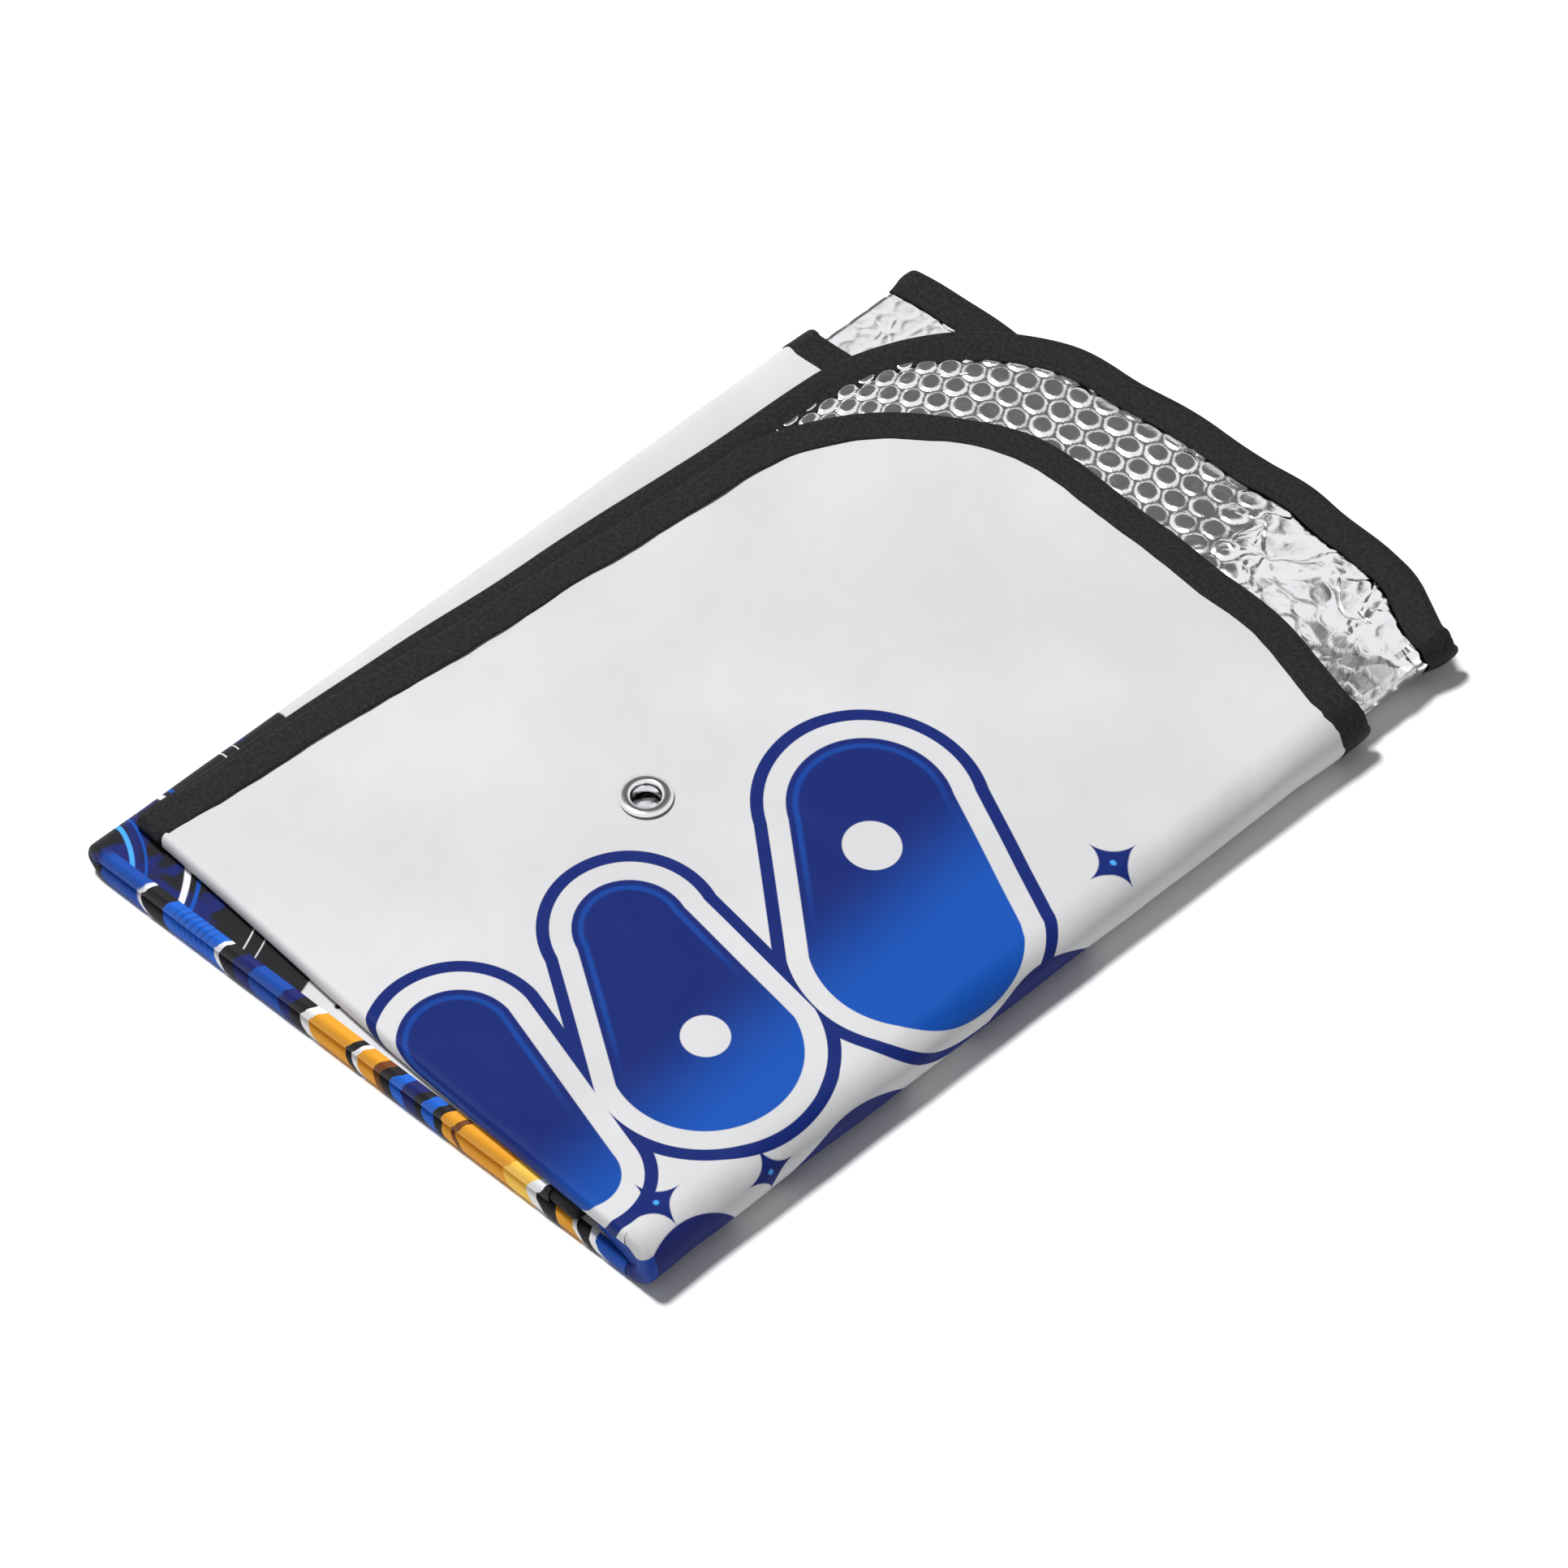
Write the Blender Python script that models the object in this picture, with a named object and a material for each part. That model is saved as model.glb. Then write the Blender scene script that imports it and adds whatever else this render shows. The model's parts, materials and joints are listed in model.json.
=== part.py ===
"""Folded bubble-foil shade mat, in metres, +Z up.

One bound sheet of printed polyester laminated to bubble foil. It is first folded in half, foil inside,
which makes a short leaf and a long leaf joined at a spine, and then in three like a letter: a base
section, an inner flap folded over it from the +Y side, and a top flap folded over both from the -Y side.
The spine is at -X. The origin is on the floor, under the middle of the folded mat.
"""

import math

import bmesh
import bpy
from mathutils import Vector

# Layers of one leaf, from its printed side to its foil side
LEAF = 0.0036  # height of a bound leaf
COVER = 0.0004  # printed polyester
FOIL = 0.0022  # bubble film with its metallised faces
TAPE = 0.0004  # each leg of the binding tape
GAP = 0.0003  # clearance between pieces that touch
# Binding
BINDING_WIDTH = 0.0127  # half-inch tape, folded over the edge
WEB = 0.0008  # the tape's turned edge, outside the leaf
# Plan of the folded mat
LENGTH = 0.3936  # from the base's spine to the end of the top flap's long leaf
WIDTH = 0.2570  # from fold to fold, outside
BASE_SPINE_SLANT = 0.078  # the base and inner flap run out towards -X as Y grows
TOP_SPINE_SLANT = 0.037
FOLD_SLANT = 0.020  # the inner flap's fold line climbs in Y along X
TOP_SHORT_SET_BACK = 0.0490  # how far each leaf ends before the longest one
INNER_LONG_SET_BACK = 0.0180
INNER_SHORT_SET_BACK = 0.0640
BASE_LONG_SET_BACK = 0.0090
BASE_SHORT_SET_BACK = 0.0530
END_LEAN = 0.0150  # the long leaf's end leans back this much towards its free side
END_LEAN_FROM_FOLD = 0.0870  # where that lean starts
CORNER_RADIUS = 0.0640  # the rounded corners of the top flap
TOP_SHORT_REACH = 0.2290  # from the top flap's fold axis to its free side, at the spine
TOP_LONG_REACH = 0.2330
TOP_SHORT_SIDE_SLANT = -0.062
TOP_LONG_SIDE_SLANT = -0.034
INNER_REACH = 0.2100  # from the inner flap's fold axis to its free side
# Eyelet
EYELET_FROM_SPINE = 0.122
EYELET_FROM_FOLD = 0.123
EYELET_BORE = 0.0100
EYELET_WALL = 0.0004
EYELET_FLANGE = 0.0180
EYELET_DOME = 0.0011  # height of the rolled flange
WASHER_OUTER = 0.0160
WASHER = 0.0004
# Facets
ARC_STEPS = 8
FOLD_STEPS = 12
ROUND_STEPS = 32

PITCH = LEAF + GAP
BOOK = 2 * PITCH  # a section: two leaves and the gap over them
TOP_AXIS_Z = (5 * PITCH + LEAF) / 2
INNER_AXIS_Z = (3 * PITCH + LEAF) / 2
TOP_AXIS_Y = -WIDTH / 2 + TOP_AXIS_Z
INNER_AXIS_END_Y = WIDTH / 2 - INNER_AXIS_Z
SPINE_RADIUS = LEAF + GAP / 2
LONG_END_X = LENGTH / 2
TOP_SHORT_END_X = LONG_END_X - TOP_SHORT_SET_BACK
INNER_LONG_END_X = LONG_END_X - INNER_LONG_SET_BACK
INNER_SHORT_END_X = LONG_END_X - INNER_SHORT_SET_BACK
INNER_CORNER_X = -LENGTH / 2 + SPINE_RADIUS + GAP
INNER_CORNER_Y = INNER_AXIS_END_Y - FOLD_SLANT * (INNER_SHORT_END_X - INNER_CORNER_X)
SPINE_AXIS_X = INNER_CORNER_X + BASE_SPINE_SLANT * (INNER_CORNER_Y - TOP_AXIS_Y)
SPINE_X = SPINE_AXIS_X - SPINE_RADIUS
INNER_FREE_Y = INNER_CORNER_Y - INNER_REACH
TOP_SIDE_Y = TOP_AXIS_Y + TOP_SHORT_REACH
TOP_LONG_SIDE_Y = TOP_AXIS_Y + TOP_LONG_REACH
EYELET_X = SPINE_X + EYELET_FROM_SPINE
EYELET_Y = TOP_AXIS_Y + EYELET_FROM_FOLD
COLOURS = {
    "cover": ((0.76, 0.77, 0.79), 0.55, 0.0),
    "foil": ((0.80, 0.81, 0.82), 0.22, 1.0),
    "binding": ((0.012, 0.012, 0.013), 0.85, 0.0),
    "eyelet": ((0.70, 0.70, 0.71), 0.25, 1.0),
}

for old in list(bpy.data.objects):
    bpy.data.objects.remove(old)


def material_for(name, finish):
    colour, roughness, metallic = COLOURS[finish]
    material = bpy.data.materials.new(f"{name}_{finish}")
    material.use_nodes = True
    shader = material.node_tree.nodes["Principled BSDF"]
    shader.inputs["Base Color"].default_value = (*colour, 1.0)
    shader.inputs["Roughness"].default_value = roughness
    shader.inputs["Metallic"].default_value = metallic
    return material


def finished(name, bm, finish, parent=None):
    """Turn a bmesh into the named object, measured from its parent empty if it has one."""
    bmesh.ops.recalc_face_normals(bm, faces=bm.faces)
    if parent is not None:
        bmesh.ops.translate(bm, verts=bm.verts, vec=-parent.location)
    mesh = bpy.data.meshes.new(name)
    bm.to_mesh(mesh)
    bm.free()
    mesh.shade_smooth()
    mesh.set_sharp_from_angle(angle=math.radians(30))
    obj = bpy.data.objects.new(name, mesh)
    bpy.context.scene.collection.objects.link(obj)
    obj.data.materials.append(material_for(name, finish))
    obj.parent = parent
    return obj


def base_spine(y):
    """X of the base's and the inner flap's spine axis at y."""
    return SPINE_AXIS_X - BASE_SPINE_SLANT * (y - TOP_AXIS_Y)


def top_spine(y):
    return SPINE_AXIS_X - TOP_SPINE_SLANT * (y - TOP_AXIS_Y)


def inner_axis(x):
    """Y of the inner flap's fold axis at x."""
    return INNER_AXIS_END_Y - FOLD_SLANT * (INNER_SHORT_END_X - x)


def corner_on(line_a, line_b):
    """Where two plan lines, each (point, direction), cross."""
    (p, d), (q, e) = line_a, line_b
    s = ((q - p).x * e.y - (q - p).y * e.x) / (d.x * e.y - d.y * e.x)
    return p + d * s


def inset_plan(corners, inset):
    """Plan outline of a leaf. corners are (point, radius, is the edge from here on bound), anticlockwise.
    Bound edges move in by inset, fold and spine edges by the clearance. Rounded corners become arcs."""
    count = len(corners)
    lines = []
    for i, (point, _, bound) in enumerate(corners):
        along = (corners[(i + 1) % count][0] - point).normalized()
        inward = Vector((-along.y, along.x))
        lines.append((point + inward * (inset if bound else GAP), along))
    outline = []
    for i, (_, radius, _) in enumerate(corners):
        before, after = lines[i - 1], lines[i]
        corner = corner_on(before, after)
        if radius == 0:
            outline.append(corner)
            continue
        r = radius - inset
        turn = before[1].angle_signed(after[1])
        back = r * math.tan(abs(turn) / 2)
        start = corner - before[1] * back
        centre = start + Vector((-before[1].y, before[1].x)) * r
        for k in range(ARC_STEPS + 1):
            swing = -turn * k / ARC_STEPS
            arm = start - centre
            outline.append(
                centre
                + Vector(
                    (
                        arm.x * math.cos(swing) - arm.y * math.sin(swing),
                        arm.x * math.sin(swing) + arm.y * math.cos(swing),
                    )
                )
            )
    return outline


def slab(name, outline, low, high, finish, parent=None, holes=()):
    """A flat sheet of the plan outline between two heights, with round holes."""
    bm = bmesh.new()
    face = bm.faces.new([bm.verts.new((p.x, p.y, low)) for p in outline])
    raised = bmesh.ops.extrude_face_region(bm, geom=[face])["geom"]
    up = [v for v in raised if isinstance(v, bmesh.types.BMVert)]
    bmesh.ops.translate(bm, verts=up, vec=(0, 0, high - low))
    obj = finished(name, bm, finish, parent)
    for x, y, radius in holes:
        cutter = drum(f"{name}_hole", x, y, radius, low - COVER, high + COVER)
        cut = obj.modifiers.new("hole", "BOOLEAN")
        cut.object = cutter
        cut.solver = "EXACT"
    return obj


def drum(name, x, y, radius, low, high):
    """A hidden cylinder that cuts a round hole."""
    bm = bmesh.new()
    bmesh.ops.create_cone(
        bm, cap_ends=True, segments=ROUND_STEPS, radius1=radius, radius2=radius, depth=high - low
    )
    bmesh.ops.translate(bm, verts=bm.verts, vec=(x, y, (low + high) / 2))
    obj = finished(name, bm, "eyelet")
    obj.hide_render = True
    obj.display_type = "WIRE"
    return obj


def tape_profile(low, high):
    """Cross-section of the folded tape, as (distance in from the edge, height)."""
    return [
        (0, low),
        (0, high),
        (BINDING_WIDTH, high),
        (BINDING_WIDTH, high - TAPE),
        (WEB, high - TAPE),
        (WEB, low + TAPE),
        (BINDING_WIDTH, low + TAPE),
        (BINDING_WIDTH, low),
    ]


def binding(name, corners, first, last, low, parent=None):
    """The tape along the bound edges, from outline corner first to last."""
    profile = tape_profile(low, low + LEAF)
    plans = {inset: inset_plan(corners, inset) for inset, _ in profile}
    stations = stations_between(corners, first, last)
    bm = bmesh.new()
    loops = []
    for station in stations:
        ring = [
            bm.verts.new((plans[inset][station].x, plans[inset][station].y, z))
            for inset, z in profile
        ]
        loops.append([bm.edges.new((ring[k - 1], ring[k])) for k in range(len(ring))])
    for near, far in zip(loops, loops[1:]):
        bmesh.ops.bridge_loops(bm, edges=near + far)
    for end in (loops[0], loops[-1]):
        bmesh.ops.contextual_create(bm, geom=end)
    return finished(name, bm, "binding", parent)


def stations_between(corners, first, last):
    """Indices into an inset plan from one corner to another, counting each arc's points."""
    starts = []
    total = 0
    for _, radius, _ in corners:
        starts.append(total)
        total += ARC_STEPS + 1 if radius else 1
    end = starts[last]
    return [k % total for k in range(starts[first], (end if end > starts[first] else end + total) + 1)]


def turned(name, profile, axis_point, along, finish, side, parent=None):
    """A half turn about a fold axis, from the lower leaves to the upper ones. profile is
    (distance along the axis, radius); side is -1 where the fold bulges to -Y and +1 to +Y."""
    bm = bmesh.new()
    ring = [bm.verts.new(axis_point + along * s + Vector((0, 0, -r))) for s, r in profile]
    face = bm.faces.new(ring)
    bmesh.ops.spin(
        bm,
        geom=[face, *face.verts, *face.edges],
        cent=axis_point,
        axis=along * side,
        angle=math.pi,
        steps=FOLD_STEPS,
    )
    return finished(name, bm, finish, parent)


def half_ring(inner, outer):
    """A half ring that bulges to -X, as (x, z) about its own centre."""
    angles = [math.pi / 2 + math.pi * k / FOLD_STEPS for k in range(FOLD_STEPS + 1)]
    outside = [(outer * math.cos(a), outer * math.sin(a)) for a in angles]
    inside = [(inner * math.cos(a), inner * math.sin(a)) for a in reversed(angles)]
    return outside + inside


def spine(name, spine_at, y_from, y_to, low, inner, outer, finish, parent=None):
    """The half-round turn between a section's two leaves, along its spine."""
    bm = bmesh.new()
    centre = Vector((spine_at(y_from), y_from, low + SPINE_RADIUS))
    face = bm.faces.new([bm.verts.new(centre + Vector((x, 0, z))) for x, z in half_ring(inner, outer)])
    raised = bmesh.ops.extrude_face_region(bm, geom=[face])["geom"]
    far = [v for v in raised if isinstance(v, bmesh.types.BMVert)]
    bmesh.ops.translate(bm, verts=far, vec=(spine_at(y_to) - spine_at(y_from), y_to - y_from, 0))
    return finished(name, bm, finish, parent)


def leaf(name, corners, first, last, low, cover_up, parent=None, holes=()):
    """One leaf: printed cover, bubble foil, and the tape round its bound edges."""
    cover_low = low + LEAF - COVER if cover_up else low
    foil_low = low + LEAF - COVER - GAP - FOIL if cover_up else low + COVER + GAP
    slab(
        f"{name}_cover",
        inset_plan(corners, BINDING_WIDTH + GAP),
        cover_low,
        cover_low + COVER,
        "cover",
        parent,
        holes,
    )
    slab(
        f"{name}_foil",
        inset_plan(corners, WEB + GAP),
        foil_low,
        foil_low + FOIL,
        "foil",
        parent,
        holes,
    )
    binding(f"{name}_binding", corners, first, last, low, parent)


def plan(*corners):
    return [(Vector((x, y)), radius, bound) for x, y, radius, bound in corners]


def leaf_between_folds(end_x):
    """Plan of a base leaf: bound only at its +X end."""
    return plan(
        (base_spine(TOP_AXIS_Y), TOP_AXIS_Y, 0, False),
        (end_x, TOP_AXIS_Y, 0, True),
        (end_x, inner_axis(end_x), 0, False),
        (INNER_CORNER_X, INNER_CORNER_Y, 0, False),
    )


def inner_leaf(end_x):
    """Plan of an inner flap leaf: bound at its +X end and along its free side."""
    return plan(
        (base_spine(INNER_FREE_Y), INNER_FREE_Y, 0, True),
        (end_x, INNER_FREE_Y, 0, True),
        (end_x, inner_axis(end_x), 0, False),
        (INNER_CORNER_X, INNER_CORNER_Y, 0, False),
    )


def top_side(y_at_spine, slant, x):
    return y_at_spine + slant * (x - SPINE_AXIS_X)


# Empties on the fold axes carry the flaps
top_axis = bpy.data.objects.new("top_flap_axis", None)
top_axis.location = (0, TOP_AXIS_Y, TOP_AXIS_Z)
inner_axis_empty = bpy.data.objects.new("inner_flap_axis", None)
inner_axis_empty.location = (0, inner_axis(0), INNER_AXIS_Z)
for empty in (top_axis, inner_axis_empty):
    bpy.context.scene.collection.objects.link(empty)

# Base section: short leaf face down on the floor, long leaf over it
leaf("base_short", leaf_between_folds(LONG_END_X - BASE_SHORT_SET_BACK), 1, 2, 0, False)
leaf("base_long", leaf_between_folds(LONG_END_X - BASE_LONG_SET_BACK), 1, 2, PITCH, True)

# Inner flap: long leaf foil up, short leaf over it, print up
leaf("inner_long", inner_leaf(INNER_LONG_END_X), 0, 2, BOOK, False, inner_axis_empty)
leaf("inner_short", inner_leaf(INNER_SHORT_END_X), 0, 2, BOOK + PITCH, True, inner_axis_empty)

# Top flap: long leaf foil up, short leaf over it, print up, with the eyelet
top_long = plan(
    (top_spine(TOP_AXIS_Y), TOP_AXIS_Y, 0, False),
    (LONG_END_X, TOP_AXIS_Y, 0, True),
    (LONG_END_X, TOP_AXIS_Y + END_LEAN_FROM_FOLD, 0, True),
    (
        LONG_END_X - END_LEAN,
        top_side(TOP_LONG_SIDE_Y, TOP_LONG_SIDE_SLANT, LONG_END_X),
        CORNER_RADIUS,
        True,
    ),
    (top_spine(TOP_LONG_SIDE_Y), TOP_LONG_SIDE_Y, 0, False),
)
top_short = plan(
    (top_spine(TOP_AXIS_Y), TOP_AXIS_Y, 0, False),
    (TOP_SHORT_END_X, TOP_AXIS_Y, 0, True),
    (
        TOP_SHORT_END_X,
        top_side(TOP_SIDE_Y, TOP_SHORT_SIDE_SLANT, TOP_SHORT_END_X),
        CORNER_RADIUS,
        True,
    ),
    (top_spine(TOP_SIDE_Y), TOP_SIDE_Y, 0, False),
)
barrel_radius = EYELET_BORE / 2 + EYELET_WALL
eyelet_hole = (EYELET_X, EYELET_Y, barrel_radius + GAP)
leaf("top_long", top_long, 1, 4, 2 * BOOK, False, top_axis)
leaf("top_short", top_short, 1, 3, 2 * BOOK + PITCH, True, top_axis, [eyelet_hole])

# Spines: the sheet's half fold, at the -X end of each section
cover_inner = SPINE_RADIUS - COVER
foil_outer = cover_inner - GAP
foil_inner = foil_outer - FOIL
inner_stop_y = INNER_CORNER_Y - FOLD_SLANT * SPINE_RADIUS - GAP
sections = (
    ("base", base_spine, TOP_AXIS_Y + GAP, inner_stop_y, 0, None),
    (
        "inner",
        base_spine,
        INNER_FREE_Y + BINDING_WIDTH + GAP,
        inner_stop_y,
        BOOK,
        inner_axis_empty,
    ),
    ("top", top_spine, TOP_AXIS_Y + GAP, TOP_SIDE_Y - BINDING_WIDTH - GAP, 2 * BOOK, top_axis),
)
for name, spine_at, y_from, y_to, low, parent in sections:
    spine(f"{name}_spine_foil", spine_at, y_from, y_to, low, foil_inner, foil_outer, "foil", parent)
    spine(f"{name}_spine_cover", spine_at, y_from, y_to, low, cover_inner, SPINE_RADIUS, "cover", parent)

# Where the side binding passes round a spine
spine(
    "inner_binding_turn",
    base_spine,
    INNER_FREE_Y,
    INNER_FREE_Y + BINDING_WIDTH,
    BOOK,
    cover_inner,
    SPINE_RADIUS,
    "binding",
    inner_axis_empty,
)
spine(
    "top_binding_turn",
    top_spine,
    TOP_SIDE_Y - BINDING_WIDTH,
    TOP_SIDE_Y,
    2 * BOOK,
    cover_inner,
    SPINE_RADIUS,
    "binding",
    top_axis,
)


def fold(name, axis_y, axis_z, slope, side, start, ends):
    """The pieces of sheet that turn through a half circle at one fold line, which crosses X = 0 at axis_y.
    They start at the spine. ends are the X ends of the short leaf's turn, which is outside, and of the
    long leaf's, which is inside."""
    point = Vector((0, axis_y, axis_z))
    along = Vector((1, slope, 0)).normalized()
    outer = axis_z
    layers = (("short", outer, -1, ends[0]), ("long", outer - 2 * LEAF - GAP, 1, ends[1]))
    for leaf_name, face, inward, end in layers:
        # the short leaf is printed outside, the long leaf inside
        cover = (face, face + inward * COVER)
        foil = (cover[1] + inward * GAP, cover[1] + inward * (GAP + FOIL))
        back = face + inward * LEAF
        cut = end - BINDING_WIDTH - GAP
        foil_end = end - WEB - GAP
        for part, (a, b), stop in (("cover", cover, cut), ("foil", foil, foil_end)):
            profile = [(start, a), (stop, a), (stop, b), (start, b)]
            turned(f"{name}_{leaf_name}_{part}", profile, point, along, part, side)
        low, high = min(face, back), max(face, back)
        profile = [(end - inset, r) for inset, r in tape_profile(low, high)]
        turned(f"{name}_{leaf_name}_binding", profile, point, along, "binding", side)
    middle = outer - SPINE_RADIUS
    ring = half_ring(cover_inner, SPINE_RADIUS)
    corner = [(start - GAP + x, middle + z) for x, z in ring]
    turned(f"{name}_corner_cover", corner, point, along, "cover", side)


fold("top_fold", TOP_AXIS_Y, TOP_AXIS_Z, 0, -1, SPINE_AXIS_X, (TOP_SHORT_END_X, LONG_END_X))
fold(
    "inner_fold",
    inner_axis(0),
    INNER_AXIS_Z,
    FOLD_SLANT,
    1,
    INNER_CORNER_X,
    (INNER_SHORT_END_X, INNER_LONG_END_X),
)

# Eyelet through the top flap's short leaf: a barrel with a rolled flange, and its washer underneath
top_face = 2 * BOOK + PITCH + LEAF
flange_low = top_face + GAP
barrel_foot = top_face - COVER - GAP - FOIL - GAP - WASHER
bm = bmesh.new()
flange_radius = EYELET_FLANGE / 2
bore_radius = EYELET_BORE / 2
profile = [
    (barrel_radius, barrel_foot),
    (barrel_radius, flange_low),
    (flange_radius, flange_low),
    (flange_radius, flange_low + EYELET_WALL),
    ((barrel_radius + flange_radius) / 2, flange_low + EYELET_DOME),
    (bore_radius, flange_low + EYELET_WALL),
    (bore_radius, barrel_foot),
]
centre = Vector((EYELET_X, EYELET_Y, 0))
rim = [bm.verts.new(centre + Vector((r, 0, z))) for r, z in profile]
edges = [bm.edges.new((rim[k - 1], rim[k])) for k in range(len(rim))]
bmesh.ops.spin(
    bm,
    geom=rim + edges,
    cent=centre,
    axis=(0, 0, 1),
    angle=2 * math.pi,
    steps=ROUND_STEPS,
    use_merge=True,
)
finished("eyelet_flange", bm, "eyelet", top_axis)

bm = bmesh.new()
washer_inner = barrel_radius + GAP
profile = [
    (washer_inner, barrel_foot),
    (WASHER_OUTER / 2, barrel_foot),
    (WASHER_OUTER / 2, barrel_foot + WASHER),
    (washer_inner, barrel_foot + WASHER),
]
rim = [bm.verts.new(centre + Vector((r, 0, z))) for r, z in profile]
edges = [bm.edges.new((rim[k - 1], rim[k])) for k in range(len(rim))]
bmesh.ops.spin(
    bm,
    geom=rim + edges,
    cent=centre,
    axis=(0, 0, 1),
    angle=2 * math.pi,
    steps=ROUND_STEPS,
    use_merge=True,
)
finished("eyelet_washer", bm, "eyelet", top_axis)
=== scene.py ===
"""Folded bubble-foil shade mat: printed polyester outside, bubble foil inside, bound in black tape."""

import json
import math

import bmesh
import bpy
from mathutils import Matrix, Vector, noise


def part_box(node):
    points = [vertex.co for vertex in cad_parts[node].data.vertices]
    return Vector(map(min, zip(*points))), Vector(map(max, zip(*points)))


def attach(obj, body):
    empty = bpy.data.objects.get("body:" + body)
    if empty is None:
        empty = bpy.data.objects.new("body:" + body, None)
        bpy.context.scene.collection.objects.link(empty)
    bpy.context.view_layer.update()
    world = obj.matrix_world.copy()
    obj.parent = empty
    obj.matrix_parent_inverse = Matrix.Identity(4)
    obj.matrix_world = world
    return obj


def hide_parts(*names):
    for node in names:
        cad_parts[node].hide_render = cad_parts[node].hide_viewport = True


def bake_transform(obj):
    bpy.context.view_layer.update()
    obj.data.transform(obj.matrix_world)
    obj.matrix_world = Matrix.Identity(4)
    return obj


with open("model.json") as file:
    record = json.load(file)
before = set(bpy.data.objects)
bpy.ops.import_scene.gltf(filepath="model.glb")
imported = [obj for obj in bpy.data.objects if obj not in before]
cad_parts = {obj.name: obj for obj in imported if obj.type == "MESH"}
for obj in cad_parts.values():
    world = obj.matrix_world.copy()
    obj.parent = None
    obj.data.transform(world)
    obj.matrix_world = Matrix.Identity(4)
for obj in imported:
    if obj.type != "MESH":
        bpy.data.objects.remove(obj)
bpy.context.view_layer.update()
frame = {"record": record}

# Camera: a long lens above the mat's front corner, looking along its diagonal. The fold spine is at the
# left, the open foil ends are at the back right.
CAMERA_AZIMUTH, CAMERA_ELEVATION = math.radians(-43.2), math.radians(50.7)
camera_aim = Vector((-0.0137, -0.0134, 0.011))
camera_back = Vector(
    (
        math.sin(CAMERA_AZIMUTH) * math.cos(CAMERA_ELEVATION),
        -math.cos(CAMERA_AZIMUTH) * math.cos(CAMERA_ELEVATION),
        math.sin(CAMERA_ELEVATION),
    )
)
camera = bpy.data.objects.new("camera", bpy.data.cameras.new("camera"))
bpy.context.scene.collection.objects.link(camera)
camera.data.lens = 158.4
camera.data.sensor_width = 36
camera.location = camera_aim + camera_back * 2.243
camera.rotation_euler = (-camera_back).to_track_quat("-Z", "Y").to_euler()
bpy.context.scene.camera = camera


# Studio: a white sweep of floor, a bright sky with one darker patch that the flat foil mirrors, and a
# key light from behind on the left, which lays the contact shadow along the two near edges.
class Wire:
    """A socket in a material, which adds Math nodes as it is added, multiplied or compared."""

    def __init__(self, tree, socket=None):
        self.tree, self.socket = tree, socket

    def node(self, kind, settings=None, inputs=None, out=0):
        made = self.tree.nodes.new(kind)
        for name, value in (settings or {}).items():
            if name == "stops":
                ramp = made.color_ramp
                while len(ramp.elements) < len(value):
                    ramp.elements.new(1.0)
                for element, (place, colour) in zip(ramp.elements, value):
                    element.position, element.color = place, (*colour, 1.0)
            elif name == "interpolation":
                made.color_ramp.interpolation = value
            else:
                setattr(made, name, value)
        for key, value in (inputs or {}).items():
            if isinstance(value, Wire):
                self.tree.links.new(value.socket, made.inputs[key])
            else:
                made.inputs[key].default_value = value
        return Wire(self.tree, made.outputs[out])

    def math(self, operation, *others, clamp=False):
        inputs = dict(enumerate((self, *others)))
        return self.node("ShaderNodeMath", {"operation": operation, "use_clamp": clamp}, inputs)

    def __add__(self, other):
        return self.math("ADD", other)

    __radd__ = __add__

    def __sub__(self, other):
        return self.math("SUBTRACT", other)

    def __rsub__(self, other):
        return self.math("MULTIPLY", -1.0) + other

    def __mul__(self, other):
        return self.math("MULTIPLY", other)

    __rmul__ = __mul__

    def __truediv__(self, other):
        return self.math("DIVIDE", other)

    def __pow__(self, other):
        return self.math("POWER", other)

    def least(self, other):
        return self.math("MINIMUM", other)

    def most(self, other):
        return self.math("MAXIMUM", other)

    def rise(self, low, high):
        """0 below low, 1 above high, smooth between."""
        settings = {"interpolation_type": "SMOOTHSTEP"}
        return self.node("ShaderNodeMapRange", settings, {0: self, 1: low, 2: high, 3: 0.0, 4: 1.0})

    def over(self, below, above):
        """A colour mixed from below to above by this mask."""
        settings = {"data_type": "RGBA"}
        return self.node("ShaderNodeMix", settings, {0: self, 6: below, 7: above}, out=2)


def new_finish(name, **numbers):
    """A material with a Principled shader, its same-all-over numbers, and a Wire to build with."""
    finish = bpy.data.materials.new(name)
    finish.use_nodes = True
    shader = finish.node_tree.nodes["Principled BSDF"]
    for socket, value in numbers.items():
        shader.inputs[socket.replace("_", " ")].default_value = value
    return finish, shader, Wire(finish.node_tree)


def put_in_scene(name, bm, finish):
    mesh = bpy.data.meshes.new(name)
    bm.to_mesh(mesh)
    bm.free()
    mesh.shade_smooth()
    obj = bpy.data.objects.new(name, mesh)
    bpy.context.scene.collection.objects.link(obj)
    mesh.materials.append(finish)
    return obj


bm = bmesh.new()
bmesh.ops.create_grid(bm, x_segments=1, y_segments=1, size=6)
floor_paint, floor_shader, _ = new_finish("floor_paint", Roughness=0.9)
floor_shader.inputs["Base Color"].default_value = (0.93, 0.93, 0.93, 1)
floor_shader.inputs["Specular IOR Level"].default_value = 0.0
floor = put_in_scene("studio_floor", bm, floor_paint)
floor.location.z = -0.0002

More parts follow.
